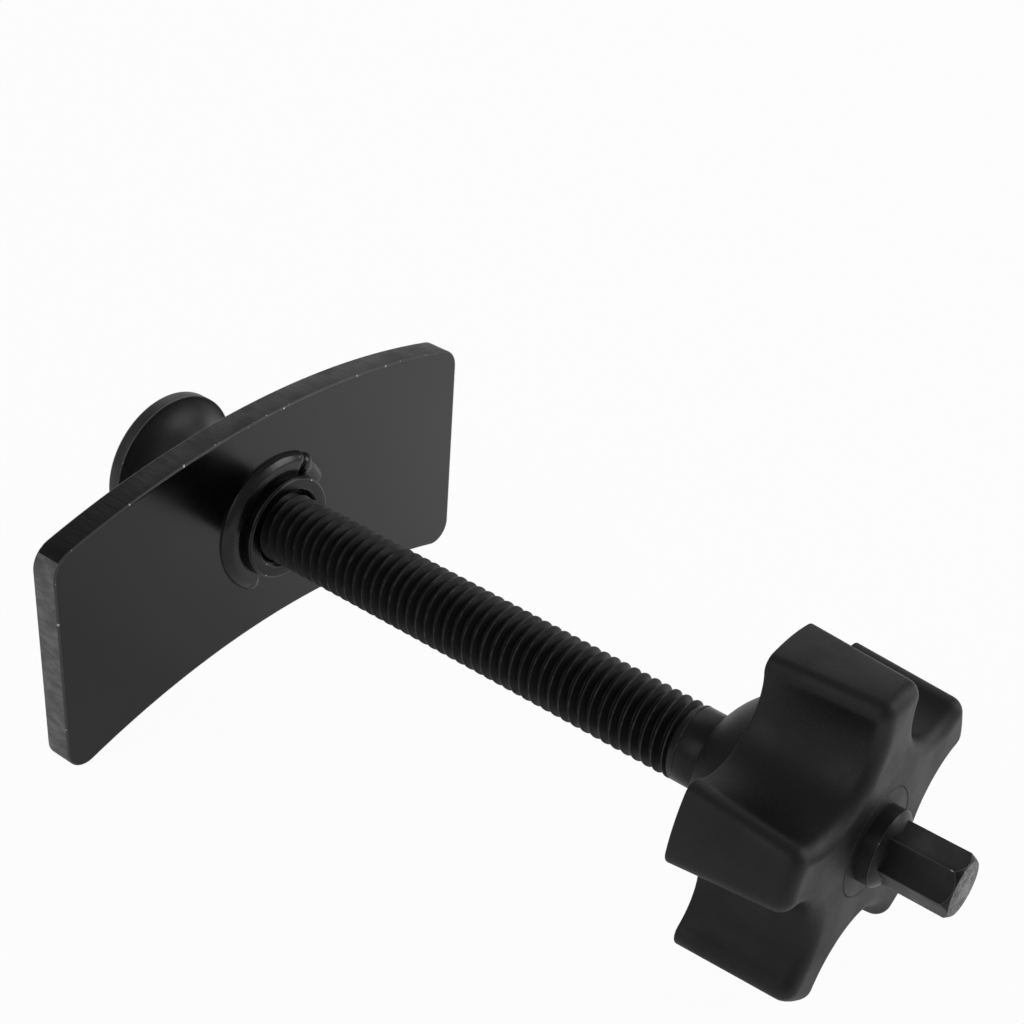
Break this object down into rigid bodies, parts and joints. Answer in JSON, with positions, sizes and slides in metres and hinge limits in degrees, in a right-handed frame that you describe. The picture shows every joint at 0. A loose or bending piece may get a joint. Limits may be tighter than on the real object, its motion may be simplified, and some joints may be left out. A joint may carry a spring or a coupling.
{
  "type": "brake caliper spreader",
  "caption": "Screw-type brake caliper spreader: arched bearing plate, welded threaded bush, screw with hexagonal drive, lobed knob and swivelling pressure foot.",
  "frame": {"origin": "on the screw's axis, in the plane of the plate's bearing face, the face toward the knob", "axes": "+Y along the screw toward the pressure foot, +X along the plate, +Z toward the plate's convex arch"},
  "size_m": [0.0966, 0.1615, 0.0541],
  "materials": {
    "plate_coating": "satin black baked enamel on steel plate",
    "bush_coating": "gloss black enamel on turned steel",
    "weld_coating": "gloss black enamel on weld bead",
    "screw_oxide": "oiled black oxide on turned and rolled steel",
    "knob_plastic": "fine mould-textured black nylon",
    "foot_coating": "satin black enamel on turned steel",
    "spring_steel": "oiled dark spring steel"
  },
  "bodies": {
    "plate_assembly": {"spreader_plate": "plate_coating", "threaded_bush": "bush_coating", "bush_weld": "weld_coating"},
    "washer": {"thrust_washer": "screw_oxide"},
    "screw": {"screw_rod": "screw_oxide", "star_knob": "knob_plastic", "knob_hub": "knob_plastic", "foot_retaining_ring": "spring_steel"},
    "foot": {"pressure_foot": "foot_coating"}
  },
  "joints": [
    {"name": "foot_travel", "type": "slide", "parent": "plate_assembly", "child": "washer", "axis": [0, 1, 0], "range_m": [-0.0085, 0.0835]},
    {"name": "screw_turn", "type": "hinge", "parent": "washer", "child": "screw", "pos_m": [0, 0, 0], "axis": [0, 1, 0], "range_deg": [-1566, 15384]},
    {"name": "foot_swivel", "type": "hinge", "parent": "washer", "child": "foot", "pos_m": [0, 0.0275, 0], "axis": [0, 1, 0], "continuous": true}
  ],
  "couplings": [
    {"joint": "foot_travel", "follows": "screw_turn", "m_per_rad": 0.00031096}
  ]
}
